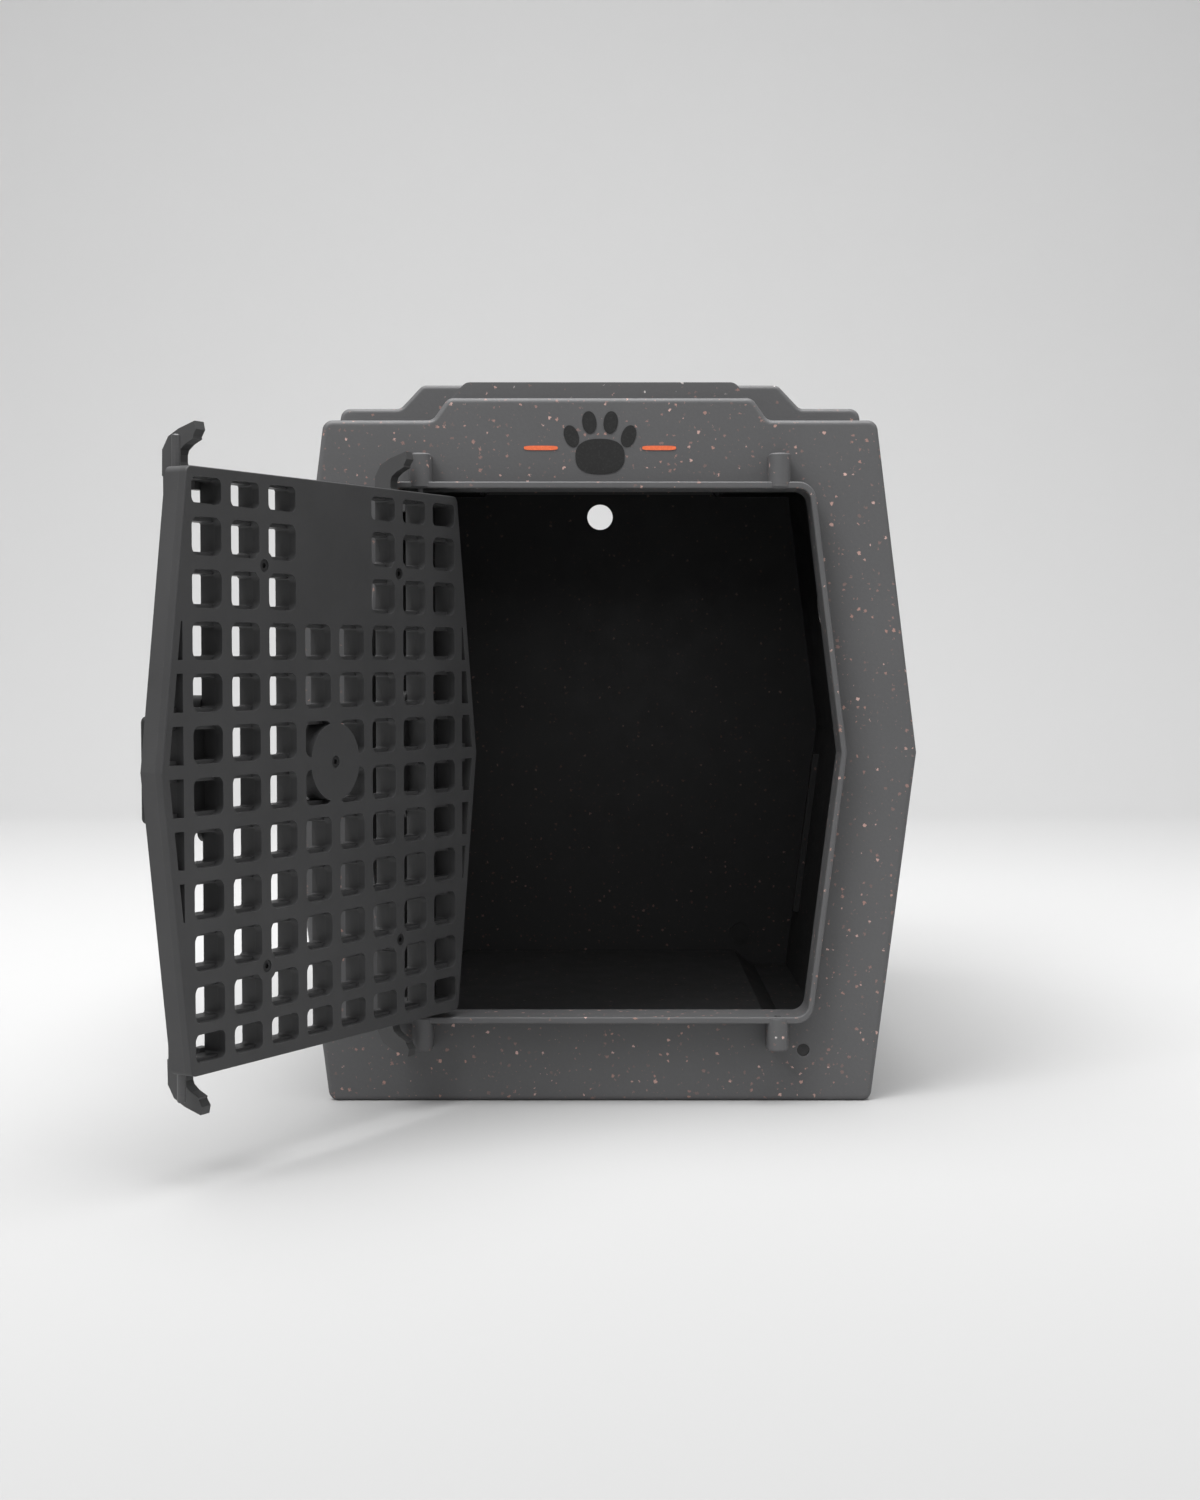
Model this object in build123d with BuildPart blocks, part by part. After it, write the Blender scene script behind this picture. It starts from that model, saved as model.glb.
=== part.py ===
from build123d import *
import math
import os

os.makedirs("parts", exist_ok=True)

# One-piece moulded travel kennel with a reversible two-skin grid door.
# Millimetres. +Z up, the doorway faces -Y, origin at the middle of the base.

# ---------------------------------------------------------------- shell
LEN = 706.0            # front face to rear face
HW_MID = 245.3         # half width at the widest line of the sides
Z_MID = 272.0          # height of the widest line
SLOPE = 0.126          # lean of the side panels above and below that line
WALL = 5.0             # moulded wall
FRAME_D = 28.0         # depth of the front and rear end frames
COLLAR_D = 67.0        # depth of the necked collars behind the frames
Z_SH_FRAME = 528.0     # shoulder height of frames and collars
Z_SH_MAIN = 548.0      # shoulder height of the middle section
Z_TOP_FRAME = 545.0
Z_TOP_COLLAR = 560.0
Z_TOP_MAIN = 567.0
Z_RAIL = 5.0           # inside floor over the two runners
Z_FLOOR = 22.0         # inside floor between the runners
CH_TOP, CH_BOT, CH_H = 144.0, 166.0, 17.0   # underside channel

# ---------------------------------------------------------------- doorway lip
LIP_T = 5.2
LIP_FRONT = 21.0       # how far the lip stands proud of the front face
LIP_BACK = 15.0        # how far it runs into the cabin
LIP_HW = 184.5         # inside half width at Z_MID
LIP_Z0, LIP_Z1 = 69.3, 473.9
LIP_SLOPE = 0.125

# ---------------------------------------------------------------- hinge and latch sockets
PIV_X = 137.0          # socket axes either side of centre
PIV_OUT = 16.0         # socket axes in front of the front face
BOSS_R = 8.2
BOSS_TOP = 500.7
BOSS_BOT = 43.0
PIN_R = 2.9
BORE_R = 3.0

# ---------------------------------------------------------------- door
THETA = 120.25         # the door stands open by this angle
DOOR_Z0, DOOR_Z1 = 74.3, 468.0
DOOR_HW = 178.8
DOOR_SLOPE = 0.132
SKIN_IN = 6.0          # inner grid thickness
SKIN_ALL = 18.0        # both grids together
PIN_W = 23.2           # rod axis outboard of the inner face
COLS = [19.2, 57.65, 96.1, 134.5]
ROWS = [16.8, 50.5, 84.1, 117.7, 151.4]
HOLE_W = 28.8
HOLE_H_IN = 24.9
HOLE_H_OUT = 19.8
TRAVEL = 18.0          # rod travel
HOOK_T = 9.0           # hook thickness
HOOK_IN = {-1: 110.0, 1: 116.0}   # inner side of the hooks, hinge side and free side

Y0 = -LEN / 2
Y1 = LEN / 2
ZC = Z_MID


def yplane(y):
    """Plane facing -Y at station y: local x is X, local y is Z."""
    return Plane(origin=(0, y, 0), x_dir=(1, 0, 0), z_dir=(0, -1, 0))


def hw(z):
    return HW_MID - SLOPE * abs(z - Z_MID)


def outer_pts(z_sh, z_top, c_top, c_base):
    right = [(hw(0), 0), (HW_MID, Z_MID), (hw(z_sh), z_sh), (c_base, z_sh), (c_top, z_top)]
    return right + [(-x, z) for x, z in reversed(right)]


def inner_pts(z_sh, z_top, c_top, c_base, raised=True):
    t = WALL + 0.04
    top = [(HW_MID - t, Z_MID), (hw(z_sh) - t, z_sh - WALL), (c_base - 2.0, z_sh - WALL), (c_top - 2.5, z_top - WALL)]
    if raised:
        bot = [(149.0, Z_FLOOR), (171.0, Z_RAIL), (hw(Z_RAIL) - t, Z_RAIL)]
    else:
        bot = [(hw(Z_RAIL) - t, Z_RAIL)]
    right = bot + top
    return right + [(-x, z) for x, z in reversed(right)]


MAIN = (Z_SH_MAIN, Z_TOP_MAIN, 144.6, 162.6)
COLLAR = (Z_SH_FRAME, Z_TOP_COLLAR, 105.0, 134.0)
FRAME = (Z_SH_FRAME, Z_TOP_FRAME, 117.0, 129.0)


def lip_hex(half, z0, z1):
    e = half - LIP_SLOPE * (z1 - Z_MID)
    b = half - LIP_SLOPE * (Z_MID - z0)
    return [(b, z0), (half, Z_MID), (e, z1), (-e, z1), (-half, Z_MID), (-b, z0)]


VENT_Y = [Y0 + 180.0, Y0 + 295.0, Y0 + 410.0, Y0 + 525.0]
GROOVE_Y = [Y0 + 62.0, Y1 - 62.0]

with BuildPart() as body_shell:
    # middle section
    with BuildSketch(yplane(Y1 - 95.0)) as s_main:
        with BuildLine():
            Polyline(*outer_pts(*MAIN), close=True)
        make_face()
        fillet(s_main.vertices(), radius=8)
    extrude(amount=LEN - 190.0)
    ends = body_shell.faces().filter_by(Axis.Y)
    fillet(ends.edges(), radius=3.5)
    # front frame
    with BuildSketch(yplane(Y0 + FRAME_D)) as s_front:
        with BuildLine():
            Polyline(*outer_pts(*FRAME), close=True)
        make_face()
        fillet(s_front.vertices(), radius=8)
    extrude(amount=FRAME_D)
    fillet(body_shell.faces().sort_by(Axis.Y)[0].edges(), radius=4)
    fillet(body_shell.faces().filter_by(Axis.Y).filter_by_position(Axis.Y, Y0 + FRAME_D - 0.5, Y0 + FRAME_D + 0.5).edges(), radius=3)
    # rear frame
    with BuildSketch(yplane(Y1)) as s_rear:
        with BuildLine():
            Polyline(*outer_pts(*FRAME), close=True)
        make_face()
        fillet(s_rear.vertices(), radius=8)
    extrude(amount=FRAME_D)
    fillet(body_shell.faces().sort_by(Axis.Y)[-1].edges(), radius=4)
    fillet(body_shell.faces().filter_by(Axis.Y).filter_by_position(Axis.Y, Y1 - FRAME_D - 0.5, Y1 - FRAME_D + 0.5).edges(), radius=3)
    # necked collars joining the frames to the middle
    for y in (Y0 + FRAME_D + COLLAR_D + 6.0, Y1 - FRAME_D + 3.0):
        with BuildSketch(yplane(y)) as s_col:
            with BuildLine():
                Polyline(*outer_pts(*COLLAR), close=True)
            make_face()
            fillet(s_col.vertices(), radius=8)
        extrude(amount=COLLAR_D + 9.0)
    # cabin hollow, in steps that follow the outside
    for ya, yb, prof, raised in (
        (Y0 + 5, Y0 + 23.02, FRAME, False),
        (Y0 + 23, Y0 + 33.02, FRAME, True),
        (Y0 + 33, Y0 + 100.02, COLLAR, True),
        (Y0 + 100, Y1 - 100, MAIN, True),
        (Y1 - 100.02, Y1 - 33, COLLAR, True),
        (Y1 - 33.02, Y1 - 23, FRAME, True),
        (Y1 - 23.02, Y1 - 5, FRAME, False),
    ):
        with BuildSketch(yplane(yb)) as s_cav:
            with BuildLine():
                Polyline(*inner_pts(*prof, raised=raised), close=True)
            make_face()
        extrude(amount=yb - ya, mode=Mode.SUBTRACT)
    # underside channel that nests over another kennel's roof
    with BuildSketch(yplane(Y1 - FRAME_D)):
        with BuildLine():
            Polyline((-CH_BOT, -1), (-CH_BOT, 0), (-CH_TOP, CH_H), (CH_TOP, CH_H), (CH_BOT, 0), (CH_BOT, -1), close=True)
        make_face()
    extrude(amount=LEN - 2 * FRAME_D, mode=Mode.SUBTRACT)
    # upright stiffening flutes near both ends of each side panel
    for sx in (-1, 1):
        for gy in GROOVE_Y:
            base = Plane(origin=(sx * hw(70), gy, 70), x_dir=(sx, 0, -SLOPE), z_dir=(sx * SLOPE, 0, 1))
            with BuildSketch(base) as s_rib:
                with BuildLine():
                    Polyline((-2.5, -10), (-2.5, 10), (-11, 6), (-11, -6), close=True)
                make_face()
            extrude(amount=172)
            with BuildSketch(base) as s_grv:
                with BuildLine():
                    Polyline((3, -6), (3, 6), (0, 6), (-6, 3), (-6, -3), (0, -6), close=True)
                make_face()
            extrude(amount=172, mode=Mode.SUBTRACT)
    # doorway and its standing lip
    with BuildSketch(yplane(Y0 + LIP_BACK)) as s_lip:
        with BuildLine():
            Polyline(*lip_hex(LIP_HW + LIP_T - 0.8, LIP_Z0 - LIP_T, LIP_Z1 + LIP_T), close=True)
        make_face()
        fillet(s_lip.vertices(), radius=14)
    extrude(amount=LIP_BACK + LIP_FRONT)
    # doorway cut
    with BuildSketch(yplane(Y0 + LIP_BACK + 1)) as s_open:
        with BuildLine():
            Polyline(*lip_hex(LIP_HW, LIP_Z0, LIP_Z1), close=True)
        make_face()
        fillet(s_open.vertices(), radius=10)
    extrude(amount=LIP_BACK + LIP_FRONT + 2, mode=Mode.SUBTRACT)
    lip_face = body_shell.faces().filter_by(Axis.Y).sort_by(Axis.Y)[0]
    fillet(lip_face.edges(), radius=1.3)
    # socket bosses with their webs
    with BuildSketch(Plane.XY.offset(LIP_Z1 + 1.5)):
        for sx in (-1, 1):
            with Locations((sx * PIV_X, Y0 - PIV_OUT)):
                Circle(BOSS_R)
            with Locations((sx * PIV_X, Y0 - PIV_OUT / 2 + 1)):
                Rectangle(2 * BOSS_R, PIV_OUT + 2)
    extrude(amount=BOSS_TOP - LIP_Z1 - 1.5)
    with BuildSketch(Plane.XY.offset(BOSS_BOT)):
        for sx in (-1, 1):
            with Locations((sx * PIV_X, Y0 - PIV_OUT)):
                Circle(BOSS_R)
            with Locations((sx * PIV_X, Y0 - PIV_OUT / 2 + 1)):
                Rectangle(2 * BOSS_R, PIV_OUT + 2)
    extrude(amount=LIP_Z0 - 1.5 - BOSS_BOT)
    tops = body_shell.faces().filter_by(Axis.Z).filter_by_position(Axis.Z, BOSS_TOP - 0.2, BOSS_TOP + 0.2)
    bots = body_shell.faces().filter_by(Axis.Z).filter_by_position(Axis.Z, BOSS_BOT - 0.2, BOSS_BOT + 0.2)
    fillet([e for e in (tops + bots).edges() if e.center().Y < Y0 - 0.5], radius=1.6)
    # blind sockets through the lip wall
    with BuildSketch(Plane.XY.offset(LIP_Z1 - 4)):
        with Locations((-PIV_X, Y0 - PIV_OUT), (PIV_X, Y0 - PIV_OUT)):
            Circle(BORE_R)
    extrude(amount=22.5, mode=Mode.SUBTRACT)
    with BuildSketch(Plane.XY.offset(51.9)):
        with Locations((-PIV_X, Y0 - PIV_OUT), (PIV_X, Y0 - PIV_OUT)):
            Circle(BORE_R)
    extrude(amount=22.5, mode=Mode.SUBTRACT)
    # side vents
    with BuildSketch(Plane.YZ.offset(-HW_MID - 5)):
        with Locations(*[(y, 394.0) for y in VENT_Y]):
            Circle(14)
    extrude(amount=2 * HW_MID + 10, mode=Mode.SUBTRACT)
    # rear vent, drain hole with a plug seat, and the small front drain hole
    with BuildSketch(yplane(Y1 + 1)):
        with Locations((0, 501)):
            Circle(14)
        with Locations((156, 40)):
            Circle(11)
    extrude(amount=10, mode=Mode.SUBTRACT)
    with BuildSketch(yplane(Y1 + 1)):
        with Locations((156, 40)):
            Circle(15)
    extrude(amount=3.2, mode=Mode.SUBTRACT)
    with BuildSketch(yplane(Y0 + 6)):
        with Locations((158.3, 40.1)):
            Circle(4.9)
    extrude(amount=8, mode=Mode.SUBTRACT)
body_shell.part.label = "body_shell"
export_step(body_shell.part, "parts/body_shell.step")

# ---------------------------------------------------------------- drain plug
with BuildPart() as drain_plug:
    with BuildSketch(yplane(Y1 - 0.1)):
        with Locations((156, 40)):
            Circle(14.7)
    extrude(amount=2.0)
    with BuildSketch(yplane(Y1 - 2.1)):
        with Locations((156, 40)):
            Circle(10.8)
    extrude(amount=5.0)
    with BuildSketch(yplane(Y1)):
        with Locations((156, 40)):
            Rectangle(16, 3)
    extrude(amount=1.3, mode=Mode.SUBTRACT)
drain_plug.part.label = "drain_plug"
export_step(drain_plug.part, "parts/drain_plug.step")

# ---------------------------------------------------------------- door frame of reference
_c, _s = math.cos(math.radians(THETA)), math.sin(math.radians(THETA))
XD = Vector(_c, -_s, 0)            # along the door, away from the hinge
ND = Vector(-_s, -_c, 0)           # out of the door's outer face
PIVOT = Vector(-PIV_X, Y0 - PIV_OUT, 0)
ORG = PIVOT + XD * PIV_X - ND * PIN_W


def dpl(w):
    """Door plane w outboard of the inner face: local x along the door, local y up."""
    return Plane(origin=ORG + ND * w, x_dir=XD, z_dir=ND)


def dtop(z):
    """Level plane at height z aligned with the door: local x along the door, local y towards the inner side."""
    return Plane(origin=ORG + Vector(0, 0, z), x_dir=XD, z_dir=(0, 0, 1))


def dside(a):
    """Plane square to the door at distance a: local x is outboard, local y is up."""
    return Plane(origin=ORG + XD * a, x_dir=ND, z_dir=ND.cross(Vector(0, 0, 1)))


def dhw(z):
    return DOOR_HW - DOOR_SLOPE * abs(z - ZC)


def door_outline():
    return [(dhw(DOOR_Z0), DOOR_Z0), (DOOR_HW, ZC), (dhw(DOOR_Z1), DOOR_Z1),
            (-dhw(DOOR_Z1), DOOR_Z1), (-DOOR_HW, ZC), (-dhw(DOOR_Z0), DOOR_Z0)]


def full_cells():
    pts = []
    for c in COLS:
        for r in ROWS:
            for sa in (-1, 1):
                for sr in (-1, 1):
                    if c < 30 and sr > 0 and r > 100:
                        continue      # solid label panel
                    pts.append((sa * c, ZC + sr * r))
    return pts


def edge_cells(h, border):
    cells = []
    for r in ROWS[:3]:
        for sr in (-1, 1):
            for sa in (-1, 1):
                z = ZC + sr * r
                za, zb = z - h / 2, z + h / 2
                cells.append([(sa * 158.4, za), (sa * 158.4, zb), (sa * (dhw(zb) - border), zb), (sa * (dhw(za) - border), za)])
    return cells


PADS = [(76.8, ZC + 134.8), (-76.8, ZC + 134.8), (76.8, ZC - 134.8), (-76.8, ZC - 134.8)]
EAR_A = 115.2
EARS = [(sa * EAR_A, ZC + sr * 42.0) for sa in (-1, 1) for sr in (-1, 1)]
HOOK_MID = {sa: sa * (HOOK_IN[sa] + HOOK_T / 2) for sa in (-1, 1)}
HOOK_SCREWS = [(HOOK_MID[sa], z) for sa in (-1, 1) for z in (DOOR_Z1 - 3.7, DOOR_Z0 + 3.7)]


# ---------------------------------------------------------------- inner grid
with BuildPart() as door_inner_grid:
    with BuildSketch(dpl(0)) as s_in:
        with BuildLine():
            Polyline(*door_outline(), close=True)
        make_face()
        fillet(s_in.vertices(), radius=5)
        with Locations(*full_cells()):
            RectangleRounded(HOLE_W, HOLE_H_IN, 6, mode=Mode.SUBTRACT)
        with Locations(*[(sa * c, 452.8) for c in COLS[1:] for sa in (-1, 1)]):
            RectangleRounded(HOLE_W, 17.4, 4.5, mode=Mode.SUBTRACT)
        with Locations(*[(sa * c, 91.9) for c in COLS for sa in (-1, 1)]):
            RectangleRounded(HOLE_W, 18.6, 4.5, mode=Mode.SUBTRACT)
        for cell in edge_cells(HOLE_H_IN, 6.3):
            with BuildLine(mode=Mode.PRIVATE) as ln:
                Polyline(*cell, close=True)
            add(make_face(ln.edges(), mode=Mode.PRIVATE), mode=Mode.SUBTRACT)
        with Locations((0, ZC)):
            Circle(27.5)
        with Locations(*PADS):
            Circle(10)
    extrude(amount=SKIN_IN)
    fillet(door_inner_grid.faces().sort_by(Axis(tuple(ORG), tuple(ND)))[0].outer_wire().edges(), radius=1.0)
    with BuildSketch(dpl(-1)):
        with Locations((0, ZC), *PADS):
            Circle(2.6)
    extrude(amount=SKIN_IN + 2, mode=Mode.SUBTRACT)
    with BuildSketch(dpl(-1)):
        with Locations((0, ZC), *PADS):
            Circle(4.3)
    extrude(amount=4.2, mode=Mode.SUBTRACT)
door_inner_grid.part.label = "door_inner_grid"
export_step(door_inner_grid.part, "parts/door_inner_grid.step")

# ---------------------------------------------------------------- outer grid
GUIDE_W = 12.4         # rod guide width
GUIDE_TOP = 29.6       # rod guide height above the inner face
SPRING_LEN = 62.0      # length of the guides that hold the springs
END_LEN = 20.0         # length of the guides at the door edges
HOUSE_H = 35.0         # latch housing half height
HOUSE_A, HOUSE_W = 130.0, 52.0
HOUSE_TOP = 39.0
with BuildPart() as door_outer_grid:
    with BuildSketch(dpl(SKIN_IN)) as s_out:
        with BuildLine():
            Polyline(*door_outline(), close=True)
        make_face()
        fillet(s_out.vertices(), radius=5)
        with Locations(*full_cells()):
            RectangleRounded(HOLE_W, HOLE_H_OUT, 1.5, mode=Mode.SUBTRACT)
        with Locations(*[(sa * c, 452.8) for c in COLS[1:] for sa in (-1, 1)]):
            RectangleRounded(HOLE_W, 15.0, 1.5, mode=Mode.SUBTRACT)
        with Locations(*[(sa * c, 91.9) for c in COLS for sa in (-1, 1)]):
            RectangleRounded(HOLE_W, 15.0, 1.5, mode=Mode.SUBTRACT)
        for cell in edge_cells(HOLE_H_OUT, 6.3):
            with BuildLine(mode=Mode.PRIVATE) as ln:
                Polyline(*cell, close=True)
            add(make_face(ln.edges(), mode=Mode.PRIVATE), mode=Mode.SUBTRACT)
        with Locations((0, ZC)):
            Circle(27.5)
        with Locations(*PADS):
            Circle(10)
    extrude(amount=SKIN_ALL - SKIN_IN)
    # pocket for the latch housings
    with BuildSketch(dpl(SKIN_ALL - 2)):
        with Locations((-HOUSE_A, ZC), (HOUSE_A, ZC)):
            Rectangle(HOUSE_W, 2 * HOUSE_H)
    extrude(amount=4, mode=Mode.SUBTRACT)
    # screw pilots
    with BuildSketch(dpl(SKIN_IN - 1)):
        with Locations((0, ZC), *PADS):
            Circle(2.45)
    extrude(amount=SKIN_ALL - SKIN_IN - 1, mode=Mode.SUBTRACT)
    with BuildSketch(dpl(8.5)):
        with Locations(*EARS):
            Circle(1.95)
        with Locations(*HOOK_SCREWS):
            Circle(1.7)
    extrude(amount=12, mode=Mode.SUBTRACT)
door_outer_grid.part.label = "door_outer_grid"
export_step(door_outer_grid.part, "parts/door_outer_grid.step")

# ---------------------------------------------------------------- guides that carry the latch rods and their springs
with BuildPart() as rod_guides:
    with BuildSketch(dpl(SKIN_ALL)):
        for sa in (-1, 1):
            for za, zb in ((ZC + HOUSE_H, ZC + HOUSE_H + SPRING_LEN), (DOOR_Z1 - 1.5 - END_LEN, DOOR_Z1 - 1.5),
                           (ZC - HOUSE_H - SPRING_LEN, ZC - HOUSE_H), (DOOR_Z0 + 1.5, DOOR_Z0 + 1.5 + END_LEN)):
                with Locations((sa * PIV_X, (za + zb) / 2)):
                    Rectangle(GUIDE_W, zb - za)
    extrude(amount=GUIDE_TOP - SKIN_ALL)
    fillet(rod_guides.faces().sort_by(Axis(tuple(ORG), tuple(ND)))[-8:].edges(), radius=1.2)
    with BuildSketch(dtop(DOOR_Z0 - 1)):
        with Locations((-PIV_X, -PIN_W), (PIV_X, -PIN_W)):
            Circle(BORE_R)
    extrude(amount=DOOR_Z1 - DOOR_Z0 + 2, mode=Mode.SUBTRACT)
    for z0 in (ZC + HOUSE_H - 0.5, ZC - HOUSE_H - 61.0):
        with BuildSketch(dtop(z0)):
            with Locations((-PIV_X, -PIN_W), (PIV_X, -PIN_W)):
                Circle(4.7)
        extrude(amount=61.5, mode=Mode.SUBTRACT)
rod_guides.part.label = "rod_guides"
export_step(rod_guides.part, "parts/rod_guides.step")

# ---------------------------------------------------------------- skin screws
with BuildPart() as door_screws:
    with BuildSketch(dpl(0.4)):
        with Locations((0, ZC), *PADS):
            Circle(4.0)
    extrude(amount=2.8)
    with BuildSketch(dpl(3.2)):
        with Locations((0, ZC), *PADS):
            Circle(2.4)
    extrude(amount=11.6)
    with BuildSketch(dpl(0.4)):
        with Locations((0, ZC), *PADS):
            RegularPolygon(radius=2.0, side_count=6)
    extrude(amount=1.6, mode=Mode.SUBTRACT)
door_screws.part.label = "door_screws"
export_step(door_screws.part, "parts/door_screws.step")

# ---------------------------------------------------------------- latch housings
for sa, nm in ((-1, "latch_housing_hinge_side"), (1, "latch_housing_free_side")):
    with BuildPart() as housing:
        with BuildSketch(dpl(SKIN_ALL - 2)) as s_h:
            with Locations((sa * HOUSE_A, ZC)):
                RectangleRounded(HOUSE_W, 2 * HOUSE_H, 4)
        extrude(amount=HOUSE_TOP - SKIN_ALL + 2)
        fillet(housing.faces().sort_by(Axis(tuple(ORG), tuple(ND)))[-1].edges(), radius=1.5)
        with BuildSketch(dpl(SKIN_ALL)):
            for sr in (-1, 1):
                with Locations((sa * EAR_A, ZC + sr * 42)):
                    Circle(6.4)
                with Locations((sa * EAR_A, ZC + sr * 38)):
                    Rectangle(12.8, 8)
        extrude(amount=3.5)
        with BuildSketch(dpl(SKIN_ALL)):
            with Locations((sa * EAR_A, ZC + 42)):
                Circle(6.4)
            with Locations((sa * EAR_A, ZC + 38)):
                Rectangle(12.8, 8)
        extrude(amount=16)
        with BuildSketch(dpl(SKIN_ALL + 0.8)):
            with Locations((sa * HOUSE_A, ZC)):
                RectangleRounded(HOUSE_W - 6, 2 * HOUSE_H - 6, 2.5)
        extrude(amount=23, mode=Mode.SUBTRACT)
        with BuildSketch(dtop(ZC - HOUSE_H - 1)):
            with Locations((sa * PIV_X, -PIN_W)):
                Circle(3.1)
        extrude(amount=2 * HOUSE_H + 2, mode=Mode.SUBTRACT)
        with BuildSketch(dpl(14)):
            for sr in (-1, 1):
                with Locations((sa * EAR_A, ZC + sr * 42)):
                    Circle(2.1)
        extrude(amount=22, mode=Mode.SUBTRACT)
        with BuildSketch(dpl(SKIN_ALL + 6)):
            with Locations((sa * EAR_A, ZC + 42)):
                Circle(4.4)
        extrude(amount=12, mode=Mode.SUBTRACT)
    housing.part.label = nm
    export_step(housing.part, "parts/" + nm + ".step")

with BuildPart() as housing_screws:
    for sr, w in ((-1, SKIN_ALL + 3.5), (1, SKIN_ALL + 6)):
        with BuildSketch(dpl(w)):
            for sa in (-1, 1):
                with Locations((sa * EAR_A, ZC + sr * 42)):
                    Circle(3.9)
        extrude(amount=2.4)
        with BuildSketch(dpl(9)):
            for sa in (-1, 1):
                with Locations((sa * EAR_A, ZC + sr * 42)):
                    Circle(1.85)
        extrude(amount=w - 9)
housing_screws.part.label = "housing_screws"
export_step(housing_screws.part, "parts/housing_screws.step")

# ---------------------------------------------------------------- corner hooks that reach over the lip
HOOK = [(18.0, -13.0), (24.0, -13.0), (46.3, -3.0), (46.0, 14.0), (40.7, 22.6), (31.6, 27.3), (17.8, 31.6), (16.6, 26.2),
        (19.5, 21.6), (19.2, 20.2), (26.0, 17.0), (30.4, 13.6), (31.6, 10.4), (31.6, 5.6), (30.6, 2.8), (26.5, 0.3), (18.0, 0.0)]
for sa, side in ((-1, "hinge_side"), (1, "free_side")):
    for up, lvl in ((1, "top"), (-1, "bottom")):
        nm = "corner_hook_" + side + "_" + lvl
        e = DOOR_Z1 if up > 0 else DOOR_Z0
        a_in = HOOK_IN[sa] if sa > 0 else -HOOK_IN[sa] - HOOK_T
        with BuildPart() as hook:
            pl = dside(a_in)
            flip = 1 if pl.y_dir.Z > 0 else -1
            with BuildSketch(pl) as s_hk:
                with BuildLine():
                    Polyline(*[(w, flip * (e + up * dz)) for w, dz in HOOK], close=True)
                make_face()
            extrude(amount=HOOK_T if pl.z_dir.dot(XD) > 0 else -HOOK_T)
            with BuildSketch(dpl(14)):
                with Locations((HOOK_MID[sa], e - up * 3.7)):
                    Circle(1.8)
            extrude(amount=34, mode=Mode.SUBTRACT)
            with BuildSketch(dpl(22)):
                with Locations((HOOK_MID[sa], e - up * 3.7)):
                    Circle(3.4)
            extrude(amount=34, mode=Mode.SUBTRACT)
        hook.part.label = nm
        export_step(hook.part, "parts/" + nm + ".step")

with BuildPart() as hook_screws:
    with BuildSketch(dpl(22)):
        with Locations(*HOOK_SCREWS):
            Circle(3.2)
    extrude(amount=2.2)
    with BuildSketch(dpl(9)):
        with Locations(*HOOK_SCREWS):
            Circle(1.6)
    extrude(amount=13)
hook_screws.part.label = "hook_screws"
export_step(hook_screws.part, "parts/hook_screws.step")

# ---------------------------------------------------------------- latch rods, finger tabs and springs
TIP = {1: 22.0, -1: 21.5}             # rod tip beyond the door edge
for sa, side in ((-1, "hinge_side"), (1, "free_side")):
    for up, lvl in ((1, "top"), (-1, "bottom")):
        tag = side + "_" + lvl
        lo = ZC + 31.0 if up > 0 else DOOR_Z0 - TIP[-1]
        hi = DOOR_Z1 + TIP[1] if up > 0 else ZC - 31.0
        with BuildPart() as rod:
            with BuildSketch(dtop(lo)):
                with Locations((sa * PIV_X, -PIN_W)):
                    Circle(PIN_R)
            extrude(amount=hi - lo)
            chamfer(rod.edges().sort_by(Axis.Z)[-1 if up > 0 else 0], length=0.8)
            with BuildSketch(dtop(ZC + 92.0 if up > 0 else ZC - 95.0)):
                with Locations((sa * PIV_X, -PIN_W)):
                    Circle(4.4)
            extrude(amount=3)
        rod.part.label = "latch_rod_" + tag
        export_step(rod.part, "parts/latch_rod_" + tag + ".step")

        with BuildPart() as tab:
            with BuildSketch(dtop(ZC + 25.0 if up > 0 else ZC - 31.0)):
                with Locations((sa * HOUSE_A, -(SKIN_ALL + 2 + HOUSE_TOP - 1) / 2)):
                    Rectangle(40, HOUSE_TOP - SKIN_ALL - 3)
            extrude(amount=6)
            fillet(tab.edges().filter_by(Axis(tuple(ORG), tuple(XD))), radius=1.2)
        tab.part.label = "finger_tab_" + tag
        export_step(tab.part, "parts/finger_tab_" + tag + ".step")

        z0 = ZC + 36.0 if up > 0 else ZC - 91.3
        ctr = ORG + XD * (sa * PIV_X) + ND * PIN_W + Vector(0, 0, z0)
        with BuildPart() as spring:
            with BuildLine() as hl:
                Helix(pitch=6.0, height=54.0, radius=3.7, center=tuple(ctr))
            with BuildSketch(Plane(origin=hl.line @ 0, z_dir=hl.line % 0)):
                Circle(0.5)
            sweep(is_frenet=True)
        spring.part.label = "rod_spring_" + tag
        export_step(spring.part, "parts/rod_spring_" + tag + ".step")
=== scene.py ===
import math
import bpy
import bmesh
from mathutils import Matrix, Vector


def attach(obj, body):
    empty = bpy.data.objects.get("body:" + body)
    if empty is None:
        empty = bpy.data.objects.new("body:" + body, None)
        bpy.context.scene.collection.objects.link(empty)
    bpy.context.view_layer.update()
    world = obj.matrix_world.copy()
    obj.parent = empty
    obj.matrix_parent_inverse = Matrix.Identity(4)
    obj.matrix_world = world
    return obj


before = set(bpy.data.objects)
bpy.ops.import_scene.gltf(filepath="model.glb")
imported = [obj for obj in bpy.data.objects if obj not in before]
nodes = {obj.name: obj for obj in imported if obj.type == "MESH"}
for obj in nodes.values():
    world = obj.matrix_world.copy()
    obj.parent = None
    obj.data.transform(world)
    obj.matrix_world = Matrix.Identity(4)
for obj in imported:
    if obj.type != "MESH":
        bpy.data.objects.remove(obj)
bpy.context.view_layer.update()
scene = bpy.context.scene
scene.view_settings.view_transform = "Standard"
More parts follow.
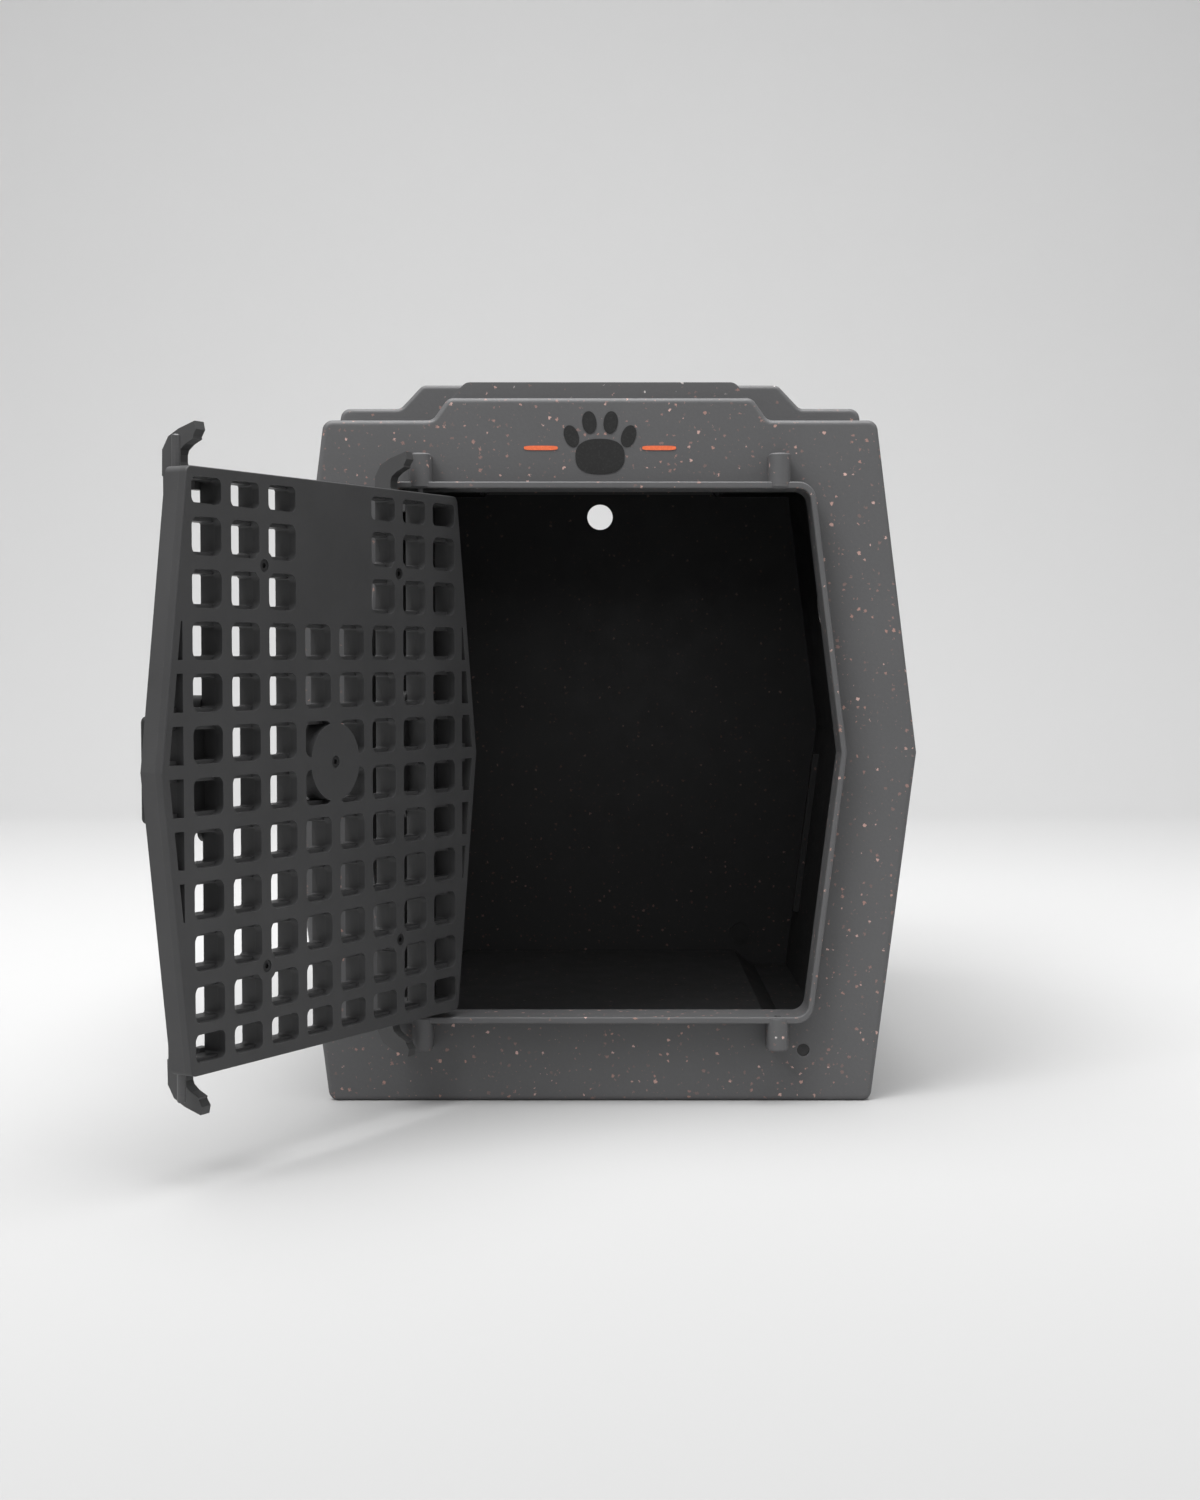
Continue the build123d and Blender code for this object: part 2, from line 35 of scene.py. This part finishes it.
scene.view_settings.look = "None"
scene.view_settings.exposure = 0.0
scene.view_settings.gamma = 1.0

# ------------------------------------------------------------------ node helpers


class Tree:
    def __init__(self, name):
        self.mat = bpy.data.materials.new(name)
        self.mat.use_nodes = True
        self.nt = self.mat.node_tree
        self.bsdf = self.nt.nodes["Principled BSDF"]
        self.out = self.nt.nodes["Material Output"]
        self.coord = self.n("ShaderNodeTexCoord")

    def n(self, kind, **kw):
        node = self.nt.nodes.new(kind)
        for k, v in kw.items():
            setattr(node, k, v)
        return node

    def link(self, a, b):
        self.nt.links.new(a, b)

    def noise(self, scale, detail=3.0, rough=0.5, vec=None):
        t = self.n("ShaderNodeTexNoise")
        t.inputs["Scale"].default_value = scale
        t.inputs["Detail"].default_value = detail
        t.inputs["Roughness"].default_value = rough
        self.link(vec or self.coord.outputs["Object"], t.inputs["Vector"])
        return t.outputs["Fac"]

    def ramp(self, fac, stops):
        r = self.n("ShaderNodeValToRGB")
        els = r.color_ramp.elements
        while len(els) < len(stops):
            els.new(0.5)
        for e, (p, c) in zip(els, stops):
            e.position = p
            e.color = (*c, 1.0) if not isinstance(c, float) else (c, c, c, 1.0)
        self.link(fac, r.inputs["Fac"])
        return r.outputs["Color"]

    def math(self, op, a, b=None, clamp=False):
        m = self.n("ShaderNodeMath", operation=op, use_clamp=clamp)
        for i, v in enumerate((a, b)):
            if v is None:
                continue
            if isinstance(v, (int, float)):
                m.inputs[i].default_value = v
            else:
                self.link(v, m.inputs[i])
        return m.outputs[0]

    def mix(self, fac, a, b, blend="MIX"):
        m = self.n("ShaderNodeMix", data_type="RGBA", blend_type=blend)
        for sock, v in ((m.inputs[0], fac), (m.inputs[6], a), (m.inputs[7], b)):
            if isinstance(v, (int, float)):
                sock.default_value = v
            elif isinstance(v, (tuple, list)):
                sock.default_value = (*v, 1.0)
            else:
                self.link(v, sock)
        return m.outputs[2]

    def bump(self, height, strength, distance, normal=None):
        b = self.n("ShaderNodeBump")
        b.inputs["Strength"].default_value = strength
        b.inputs["Distance"].default_value = distance
        self.link(height, b.inputs["Height"])
        if normal is not None:
            self.link(normal, b.inputs["Normal"])
        return b.outputs["Normal"]

    def edge(self, radius):
        """0 on flat faces, rising to 1 on edges, from a rounded normal."""
        bev = self.n("ShaderNodeBevel", samples=4)
        bev.inputs["Radius"].default_value = radius
        geo = self.n("ShaderNodeNewGeometry")
        dot = self.n("ShaderNodeVectorMath", operation="DOT_PRODUCT")
        self.link(bev.outputs["Normal"], dot.inputs[0])
        self.link(geo.outputs["Normal"], dot.inputs[1])
        return self.ramp(dot.outputs["Value"], [(0.72, 1.0), (0.985, 0.0)])


def put(mat, *names):
    for nm in names:
        o = nodes[nm]
        if not o.material_slots:
            o.data.materials.append(mat)
        for s in o.material_slots:
            s.link = "OBJECT"
            s.material = mat


# ------------------------------------------------------------------ materials
def shell_plastic():
    t = Tree("shell_plastic")
    obj = t.coord.outputs["Object"]
    # slow colour drift of a rotational moulding, and a fine orange peel
    drift = t.noise(5.0, 4.0, 0.55)
    fine = t.noise(420.0, 2.0, 0.6)
    base = t.ramp(drift, [(0.3, (0.090, 0.090, 0.0925)), (0.7, (0.103, 0.103, 0.105))])
    base = t.mix(t.math("MULTIPLY", fine, 0.16), base, (0.17, 0.17, 0.175))
    # distorted coordinates make the flecks ragged
    wob = t.n("ShaderNodeTexNoise")
    wob.inputs["Scale"].default_value = 700.0
    wob.inputs["Detail"].default_value = 2.0
    t.link(obj, wob.inputs["Vector"])
    sub = t.n("ShaderNodeVectorMath", operation="SUBTRACT")
    t.link(wob.outputs["Color"], sub.inputs[0])
    sub.inputs[1].default_value = (0.5, 0.5, 0.5)
    sc = t.n("ShaderNodeVectorMath", operation="SCALE")
    t.link(sub.outputs[0], sc.inputs[0])
    sc.inputs["Scale"].default_value = 0.0036
    add = t.n("ShaderNodeVectorMath", operation="ADD")
    t.link(obj, add.inputs[0])
    t.link(sc.outputs[0], add.inputs[1])

    def flecks(scale, seed, size, keep):
        mp = t.n("ShaderNodeMapping")
        mp.inputs["Location"].default_value = (seed, seed * 1.7, seed * 0.6)
        t.link(add.outputs[0], mp.inputs["Vector"])
        v = t.n("ShaderNodeTexVoronoi", feature="F1")
        v.inputs["Scale"].default_value = scale
        t.link(mp.outputs["Vector"], v.inputs["Vector"])
        sep = t.n("ShaderNodeSeparateColor")
        t.link(v.outputs["Color"], sep.inputs["Color"])
        rad = t.math("MULTIPLY", sep.outputs["Red"], size)
        inside = t.math("SUBTRACT", rad, v.outputs["Distance"])
        inside = t.math("MULTIPLY", inside, 14.0, clamp=True)
        on = t.math("GREATER_THAN", sep.outputs["Green"], 1.0 - keep)
        return t.math("MULTIPLY", inside, on), sep.outputs["Blue"]

    m1, b1 = flecks(185.0, 0.0, 0.30, 0.72)
    peach = t.ramp(b1, [(0.0, (0.15, 0.115, 0.11)), (0.4, (0.24, 0.155, 0.14)), (0.75, (0.38, 0.225, 0.19)), (1.0, (0.66, 0.44, 0.39))])
    col = t.mix(m1, base, peach)
    m2, b2 = flecks(140.0, 3.1, 0.20, 0.20)
    pale = t.ramp(b2, [(0.0, (0.26, 0.235, 0.23)), (1.0, (0.80, 0.74, 0.71))])
    col = t.mix(m2, col, pale)
    m3, b3 = flecks(260.0, 7.7, 0.26, 0.45)
    dim = t.ramp(b3, [(0.0, (0.15, 0.12, 0.115)), (1.0, (0.24, 0.16, 0.145))])
    col = t.mix(m3, col, dim)
    # the inside of the cabin is painted darker by a position mask: painted shade inside the kennel
    sepx = t.n("ShaderNodeSeparateXYZ")
    t.link(obj, sepx.inputs[0])
    x, y, z = sepx.outputs
    geo = t.n("ShaderNodeNewGeometry")
    in_y = t.math("GREATER_THAN", y, -0.3355)
    in_y2 = t.math("LESS_THAN", y, 0.3485)
    ax = t.math("ABSOLUTE", x)
    az = t.math("ABSOLUTE", t.math("SUBTRACT", z, 0.272))
    side = t.math("ADD", ax, t.math("MULTIPLY", az, 0.12))
    in_x = t.math("LESS_THAN", side, 0.2415)
    in_z = t.math("LESS_THAN", z, 0.5255)
    low = t.math("GREATER_THAN", z, 0.0025)
    inside = t.math("MULTIPLY", t.math("MULTIPLY", in_y, in_y2), t.math("MULTIPLY", in_x, in_z))
    inside = t.math("MULTIPLY", inside, low)
    # underside of the channel faces down, and belongs to the outside, so it gets no painted shade
    sepn = t.n("ShaderNodeSeparateXYZ")
    t.link(geo.outputs["Normal"], sepn.inputs[0])
    down = t.math("LESS_THAN", sepn.outputs[2], -0.5)
    lowz = t.math("LESS_THAN", z, 0.03)
    inside = t.math("MULTIPLY", inside, t.math("SUBTRACT", 1.0, t.math("MULTIPLY", down, lowz)))
    # painted shade deepens with height, faint on the cabin floor and near black under the roof
    shade_by_height = t.ramp(z, [(0.02, 0.05), (0.16, 0.42), (0.42, 0.74)])
    cabin_painted_shade = t.mix(shade_by_height, col, (0.012, 0.012, 0.0125))
    col = t.mix(inside, col, cabin_painted_shade)
    # scuffed, slightly lighter edges
    e = t.edge(0.003)
    scuff = t.math("MULTIPLY", e, t.ramp(t.noise(60.0, 4.0, 0.6), [(0.42, 0.0), (0.62, 0.35)]))
    col = t.mix(scuff, col, (0.21, 0.21, 0.215))
    t.link(col, t.bsdf.inputs["Base Color"])
    rough = t.ramp(t.noise(38.0, 5.0, 0.6), [(0.3, 0.46), (0.7, 0.56)])
    t.link(rough, t.bsdf.inputs["Roughness"])
    t.bsdf.inputs["Specular IOR Level"].default_value = 0.42
    n1 = t.bump(t.noise(7.0, 2.0, 0.5), 0.25, 0.004)
    n2 = t.bump(fine, 0.16, 0.0006, n1)
    n3 = t.bump(t.noise(1500.0, 2.0, 0.6), 0.12, 0.0002, n2)
    t.link(n3, t.bsdf.inputs["Normal"])
    return t.mat


def moulded(name, base, rough=0.55, grain=900.0, spec=0.4, wear=0.5, lighter=1.7):
    t = Tree(name)
    drift = t.noise(14.0, 4.0, 0.55)
    lo = tuple(c * 0.9 for c in base)
    hi = tuple(c * 1.12 for c in base)
    col = t.ramp(drift, [(0.3, lo), (0.7, hi)])
    g = t.noise(grain, 3.0, 0.65)
    col = t.mix(t.math("MULTIPLY", g, 0.18), col, tuple(min(1.0, c * 1.5) for c in base))
    e = t.edge(0.0012)
    mask = t.math("MULTIPLY", e, t.ramp(t.noise(110.0, 4.0, 0.6), [(0.38, 0.0), (0.68, wear)]))
    col = t.mix(mask, col, tuple(min(1.0, c * lighter + 0.01) for c in base))
    t.link(col, t.bsdf.inputs["Base Color"])
    r = t.ramp(t.noise(55.0, 4.0, 0.6), [(0.3, rough - 0.05), (0.7, rough + 0.07)])
    t.link(r, t.bsdf.inputs["Roughness"])
    t.bsdf.inputs["Specular IOR Level"].default_value = spec
    n1 = t.bump(g, 0.22, 0.0004)
    n2 = t.bump(t.noise(24.0, 2.0, 0.5), 0.12, 0.0012, n1)
    t.link(n2, t.bsdf.inputs["Normal"])
    return t.mat


def metal(name, base, rough=0.38, metallic=1.0, brush=(1.0, 1.0, 60.0)):
    t = Tree(name)
    mp = t.n("ShaderNodeMapping")
    mp.inputs["Scale"].default_value = brush
    t.link(t.coord.outputs["Object"], mp.inputs["Vector"])
    s = t.noise(90.0, 4.0, 0.6, mp.outputs["Vector"])
    col = t.ramp(s, [(0.3, tuple(c * 0.85 for c in base)), (0.7, tuple(min(1.0, c * 1.15) for c in base))])
    e = t.edge(0.0005)
    col = t.mix(t.math("MULTIPLY", e, 0.4), col, tuple(min(1.0, c * 1.8) for c in base))
    t.link(col, t.bsdf.inputs["Base Color"])
    t.link(t.ramp(s, [(0.2, rough - 0.06), (0.8, rough + 0.1)]), t.bsdf.inputs["Roughness"])
    t.bsdf.inputs["Metallic"].default_value = metallic
    t.link(t.bump(s, 0.1, 0.0002), t.bsdf.inputs["Normal"])
    return t.mat


SHELL = shell_plastic()
DOOR = moulded("door_plastic", (0.040, 0.040, 0.041), 0.5, 900.0, 0.42)
DOOR2 = moulded("door_plastic_outer", (0.045, 0.045, 0.046), 0.5, 850.0, 0.42)
LATCH = moulded("latch_plastic", (0.014, 0.014, 0.0143), 0.46, 1100.0, 0.45)
HOOKM = moulded("hook_plastic", (0.055, 0.055, 0.056), 0.5, 950.0, 0.42, wear=0.7)
PLUG = moulded("plug_plastic", (0.075, 0.075, 0.077), 0.5, 900.0, 0.4)
ROD = metal("rod_metal", (0.10, 0.10, 0.102), 0.42, 0.55)
BLACKSTEEL = metal("black_oxide_steel", (0.035, 0.035, 0.036), 0.42, 0.7, (1, 1, 1))
SPRING = metal("spring_steel", (0.5, 0.5, 0.51), 0.3, 1.0)

put(SHELL, "body_shell")
put(PLUG, "drain_plug")
put(DOOR, "door_inner_grid")
put(DOOR2, "door_outer_grid", *[n for n in nodes if n == "rod_guides"])
put(BLACKSTEEL, "door_screws", "housing_screws", "hook_screws")
put(LATCH, "latch_housing_hinge_side", "latch_housing_free_side")
for side in ("hinge_side", "free_side"):
    for lvl in ("top", "bottom"):
        put(HOOKM, "corner_hook_%s_%s" % (side, lvl))
        put(ROD, "latch_rod_%s_%s" % (side, lvl))
        put(LATCH, "finger_tab_%s_%s" % (side, lvl))
        put(SPRING, "rod_spring_%s_%s" % (side, lvl))


# ------------------------------------------------------------------ a plain printed emblem: paw pads and two rules
def printed(name, color, rough):
    t = Tree(name)
    speck = t.noise(650.0, 4.0, 0.7)
    worn = t.ramp(speck, [(0.30, tuple(min(1.0, c * 1.25 + 0.01) for c in color)), (0.5, color)])
    t.link(worn, t.bsdf.inputs["Base Color"])
    t.link(t.ramp(t.noise(300.0), [(0.3, rough - 0.05), (0.7, rough + 0.05)]), t.bsdf.inputs["Roughness"])
    t.link(t.bump(speck, 0.12, 0.0002), t.bsdf.inputs["Normal"])
    return t.mat


INK = printed("ink_black", (0.012, 0.012, 0.012), 0.4)
INK2 = printed("ink_orange", (0.80, 0.16, 0.06), 0.45)
FACE_Y = -0.353


def blob(bm, cx, cz, rx, rz, rot=0.0, power=2.0, n=48, t=0.0003, lift=0.00015):
    """A superellipse chip lying on the front face."""
    front, back = [], []
    for i in range(n):
        a = 2 * math.pi * i / n
        ca, sa = math.cos(a), math.sin(a)
        px = rx * math.copysign(abs(ca) ** (2 / power), ca)
        pz = rz * math.copysign(abs(sa) ** (2 / power), sa)
        x = cx + px * math.cos(rot) - pz * math.sin(rot)
        z = cz + px * math.sin(rot) + pz * math.cos(rot)
        front.append(bm.verts.new((x, FACE_Y - lift - t, z)))
        back.append(bm.verts.new((x, FACE_Y - lift, z)))
    bm.faces.new(front)
    bm.faces.new(list(reversed(back)))
    for i in range(n):
        j = (i + 1) % n
        bm.faces.new((front[i], back[i], back[j], front[j]))


def piece(name, build, mat, body):
    me = bpy.data.meshes.new(name)
    bm = bmesh.new()
    build(bm)
    bmesh.ops.recalc_face_normals(bm, faces=bm.faces)
    bm.to_mesh(me)
    bm.free()
    o = bpy.data.objects.new(name, me)
    scene.collection.objects.link(o)
    me.materials.append(mat)
    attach(o, body)
    return o


def paw(bm):
    cz = 0.5055
    blob(bm, 0.0, cz - 0.0055, 0.0190, 0.0135, 0.0, 2.5)
    for dx, dz, r in ((-0.0220, 0.0100, 0.35), (-0.0082, 0.0205, 0.12), (0.0082, 0.0205, -0.12), (0.0220, 0.0100, -0.35)):
        blob(bm, dx, cz + dz, 0.0055, 0.0086, r, 2.1)


def rules(bm):
    for s in (-1, 1):
        blob(bm, s * 0.0455, 0.5065, 0.0130, 0.0017, 0.0, 4.0)


piece("emblem_paw", paw, INK, "shell")
piece("emblem_rules", rules, INK2, "shell")

# ------------------------------------------------------------------ stage
def cyclorama():
    me = bpy.data.meshes.new("backdrop")
    bm = bmesh.new()
    prof = [(-9.0, 0.0), (-4.0, 0.0), (2.6, 0.0)]
    cy, r = 2.6, 1.5
    for i in range(1, 25):
        a = math.radians(90 * i / 24)
        prof.append((cy + r * math.sin(a), r - r * math.cos(a)))
    prof.append((cy + r, 7.0))
    rows = [[bm.verts.new((x, y, z)) for x in (-9.0, 9.0)] for y, z in prof]
    for a, b in zip(rows, rows[1:]):
        bm.faces.new((a[0], a[1], b[1], b[0]))
    for f in bm.faces:
        f.smooth = True
    bm.to_mesh(me)
    bm.free()
    o = bpy.data.objects.new("backdrop", me)
    scene.collection.objects.link(o)
    m = bpy.data.materials.new("backdrop_paper")
    m.use_nodes = True
    b = m.node_tree.nodes["Principled BSDF"]
    nt = m.node_tree
    tc = nt.nodes.new("ShaderNodeTexCoord")
    sp = nt.nodes.new("ShaderNodeSeparateXYZ")
    nt.links.new(tc.outputs["Object"], sp.inputs[0])
    # backdrop painted darker towards the camera and lighter towards the back: a painted falloff of light on the
    # paper
    mr = nt.nodes.new("ShaderNodeMapRange")
    mr.inputs["From Min"].default_value = -1.2
    mr.inputs["From Max"].default_value = 2.4
    nt.links.new(sp.outputs[1], mr.inputs["Value"])
    painted_falloff_ramp = nt.nodes.new("ShaderNodeValToRGB")
    els = painted_falloff_ramp.color_ramp.elements
    els.new(0.4)
    for e, (q, c) in zip(els, ((0.0, 0.40), (0.4, 0.57), (1.0, 0.73))):
        e.position = q
        e.color = (c, c, c, 1.0)
    nt.links.new(mr.outputs[0], painted_falloff_ramp.inputs[0])
    nt.links.new(painted_falloff_ramp.outputs[0], b.inputs["Base Color"])
    b.inputs["Roughness"].default_value = 0.9
    b.inputs["Specular IOR Level"].default_value = 0.1
    me.materials.append(m)
    return o


cyclorama()

world = bpy.data.worlds.new("studio")
scene.world = world
world.use_nodes = True
world.node_tree.nodes["Background"].inputs["Color"].default_value = (1.0, 1.0, 1.0, 1)
world.node_tree.nodes["Background"].inputs["Strength"].default_value = 0.42


def area(name, loc, target, size, power, size_y=None):
    d = bpy.data.lights.new(name, "AREA")
    d.shape = "RECTANGLE" if size_y else "SQUARE"
    d.size = size
    if size_y:
        d.size_y = size_y
    d.energy = power
    o = bpy.data.objects.new(name, d)
    scene.collection.objects.link(o)
    o.location = loc
    o.rotation_euler = (Vector(target) - Vector(loc)).to_track_quat("-Z", "Y").to_euler()
    return o


area("key_left", (-1.7, -2.4, 3.2), (-0.1, -0.4, 0.35), 1.8, 66.0)
area("top_soft", (-0.1, -0.55, 3.3), (-0.05, -0.3, 0.3), 3.0, 165.0)
bounce = area("cabin_bounce", (0.03, 0.06, 0.40), (0.03, 0.10, 0.0), 0.24, 0.09)
bounce.visible_camera = False
area("right_fill", (3.0, -2.2, 1.8), (0.1, -0.2, 0.3), 1.8, 9.0)

# ------------------------------------------------------------------ camera
cam = bpy.data.cameras.new("camera")
cam.lens = 50.0
cam.sensor_width = 36.0
cam.sensor_fit = "AUTO"
co = bpy.data.objects.new("camera", cam)
scene.collection.objects.link(co)
co.location = (0.0, -0.353 - 1.6112, 0.3442)
co.rotation_euler = (math.radians(90.0 - 2.497), 0.0, 0.0)
cam.clip_start = 0.05
cam.clip_end = 60.0
scene.camera = co
